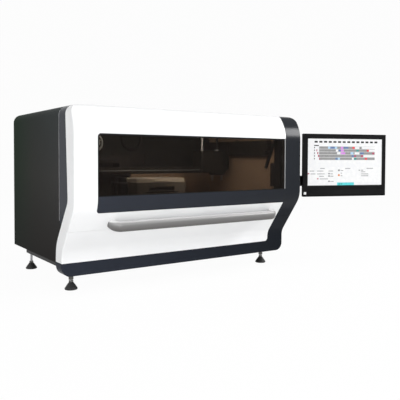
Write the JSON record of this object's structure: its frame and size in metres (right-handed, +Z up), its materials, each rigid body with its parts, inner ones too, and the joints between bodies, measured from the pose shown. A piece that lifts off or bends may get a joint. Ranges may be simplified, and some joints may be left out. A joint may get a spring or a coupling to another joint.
{
  "type": "immunoassay processor",
  "caption": "Bench-top immunoassay processor with a lifting front lid, smoked window, bar handle, pipetting robot inside and a swivelling side display.",
  "frame": {"origin": "centre of the bottom of the bounding box, on the floor under the feet", "axes": "+X along the front from left to right, +Y to the rear, +Z up"},
  "size_m": [1.723, 0.8948, 0.769],
  "materials": {
    "base_steel": "satin",
    "white_gloss": "gloss",
    "slate_gloss": "satin",
    "dark_sheet": "satin",
    "smoked_pane": "gloss",
    "frame_steel": "satin",
    "liner_steel": "satin",
    "handle_alu": "satin",
    "rail_alu": "satin",
    "rod_chrome": "gloss",
    "bright_steel": "satin",
    "black_plastic": "matte",
    "foot_rubber": "matte",
    "module_plastic": "matte",
    "cream_plastic": "matte",
    "bottle_plastic": "matte",
    "plate_plastic": "gloss",
    "rack_plastic": "matte",
    "tube_plastic": "gloss",
    "screen_face": "gloss",
    "monitor_black": "satin",
    "button_white": "matte"
  },
  "bodies": {
    "cabinet": {"base_tray": "base_steel", "chassis_frame": "frame_steel", "data_ports": "bright_steel", "deck_plate": "liner_steel", "fan": "black_plastic", "fan_guard": "bright_steel", "foot_nuts": "bright_steel", "foot_pads": "foot_rubber", "foot_stems": "bright_steel", "front_brackets": "frame_steel", "front_frame": "slate_gloss", "front_panel": "white_gloss", "guides": "rail_alu", "hinge_fixed_leaves": "bright_steel", "incubator": "module_plastic", "interlock": "black_plastic", "liner_walls": "liner_steel", "microplates": "plate_plastic", "monitor_bracket": "base_steel", "plate_tray": "cream_plastic", "power_inlet": "black_plastic", "power_supply": "bright_steel", "reader_module": "module_plastic", "rear_panel": "dark_sheet", "roof_cover": "dark_sheet", "sample_racks": "rack_plastic", "sample_tubes": "tube_plastic", "side_panels": "dark_sheet", "skids": "base_steel", "strut_brackets": "bright_steel", "tip_racks": "rack_plastic", "wash_bottles": "bottle_plastic", "wash_station": "module_plastic"},
    "lid": {"lid_cover": "white_gloss", "lid_column": "slate_gloss", "lid_band": "slate_gloss", "window": "smoked_pane", "lid_ribs": "frame_steel", "lid_crossbars": "frame_steel", "handle": "handle_alu", "hinge_lid_leaves": "bright_steel"},
    "left_tube": {"left_strut_tube": "black_plastic"},
    "right_tube": {"right_strut_tube": "black_plastic"},
    "left_rod": {"left_strut_rod": "rod_chrome"},
    "right_rod": {"right_strut_rod": "rod_chrome"},
    "bridge": {"bridge": "rail_alu"},
    "head": {"head": "cream_plastic"},
    "probe": {"probe": "bright_steel"},
    "gripper": {"gripper": "black_plastic"},
    "left_jaw": {"left_jaw": "bright_steel"},
    "right_jaw": {"right_jaw": "bright_steel"},
    "arm": {"monitor_arm": "monitor_black"},
    "post": {"monitor_post": "monitor_black"},
    "display": {"tilt_yoke": "frame_steel", "monitor_bezel": "monitor_black", "monitor_screen": "screen_face", "monitor_shell": "monitor_black"},
    "display_button": {"monitor_button": "button_white"},
    "mains_rocker": {"mains_rocker": "black_plastic"}
  },
  "joints": [
    {"name": "lid_hinge", "type": "hinge", "parent": "cabinet", "child": "lid", "pos_m": [-0.26147, -0.17159, 0.765], "axis": [-1, 0, 0], "range_deg": [0, 75]},
    {"name": "left_strut_pivot", "type": "hinge", "parent": "cabinet", "child": "left_tube", "pos_m": [-0.82147, -0.10959, 0.505], "axis": [-1, 0, 0], "range_deg": [-0.5, 4.25]},
    {"name": "left_strut_slide", "type": "slide", "parent": "left_tube", "child": "left_rod", "axis": [0, -0.4165, 0.9091], "range_m": [0, 0.0648]},
    {"name": "right_strut_pivot", "type": "hinge", "parent": "cabinet", "child": "right_tube", "pos_m": [0.29853, -0.10959, 0.505], "axis": [-1, 0, 0], "range_deg": [-0.5, 4.25]},
    {"name": "right_strut_slide", "type": "slide", "parent": "right_tube", "child": "right_rod", "axis": [0, -0.4165, 0.9091], "range_m": [0, 0.0648]},
    {"name": "bridge_slide", "type": "slide", "parent": "cabinet", "child": "bridge", "axis": [0, 1, 0], "range_m": [-0.25, 0]},
    {"name": "head_slide", "type": "slide", "parent": "bridge", "child": "head", "axis": [1, 0, 0], "range_m": [-0.826, 0.034]},
    {"name": "probe_slide", "type": "slide", "parent": "head", "child": "probe", "axis": [0, 0, 1], "range_m": [-0.15, 0]},
    {"name": "gripper_slide", "type": "slide", "parent": "head", "child": "gripper", "axis": [0, 0, 1], "range_m": [-0.1, 0]},
    {"name": "left_jaw_slide", "type": "slide", "parent": "gripper", "child": "left_jaw", "axis": [-1, 0, 0], "range_m": [0, 0.011]},
    {"name": "right_jaw_slide", "type": "slide", "parent": "gripper", "child": "right_jaw", "axis": [1, 0, 0], "range_m": [0, 0.011]},
    {"name": "arm_swivel", "type": "hinge", "parent": "cabinet", "child": "arm", "pos_m": [0.39053, -0.18159, 0.432], "axis": [0, 0, 1], "range_deg": [-14, 20]},
    {"name": "display_swivel", "type": "hinge", "parent": "arm", "child": "post", "pos_m": [0.66219, -0.26806, 0.432], "axis": [0, 0, 1], "range_deg": [-6, 30]},
    {"name": "display_tilt", "type": "hinge", "parent": "post", "child": "display", "pos_m": [0.65006, -0.30195, 0.5165], "axis": [0.9415, -0.3371, 0], "range_deg": [-20, 12]},
    {"name": "display_button_press", "type": "slide", "parent": "display", "child": "display_button", "axis": [0.3371, 0.9415, 0], "range_m": [0, 0.0012], "stiffness_N_per_m": 400},
    {"name": "mains_rocker_tilt", "type": "hinge", "parent": "cabinet", "child": "mains_rocker", "pos_m": [0.10853, 0.43841, 0.19], "axis": [1, 0, 0], "range_deg": [0, 8]}
  ],
  "couplings": [
    {"joint": "left_strut_pivot", "follows": "lid_hinge", "ratio": 0.05},
    {"joint": "left_strut_slide", "follows": "lid_hinge", "m_per_rad": 0.048},
    {"joint": "right_strut_pivot", "follows": "lid_hinge", "ratio": 0.05},
    {"joint": "right_strut_slide", "follows": "lid_hinge", "m_per_rad": 0.048},
    {"joint": "right_jaw_slide", "follows": "left_jaw_slide", "ratio": 1}
  ]
}
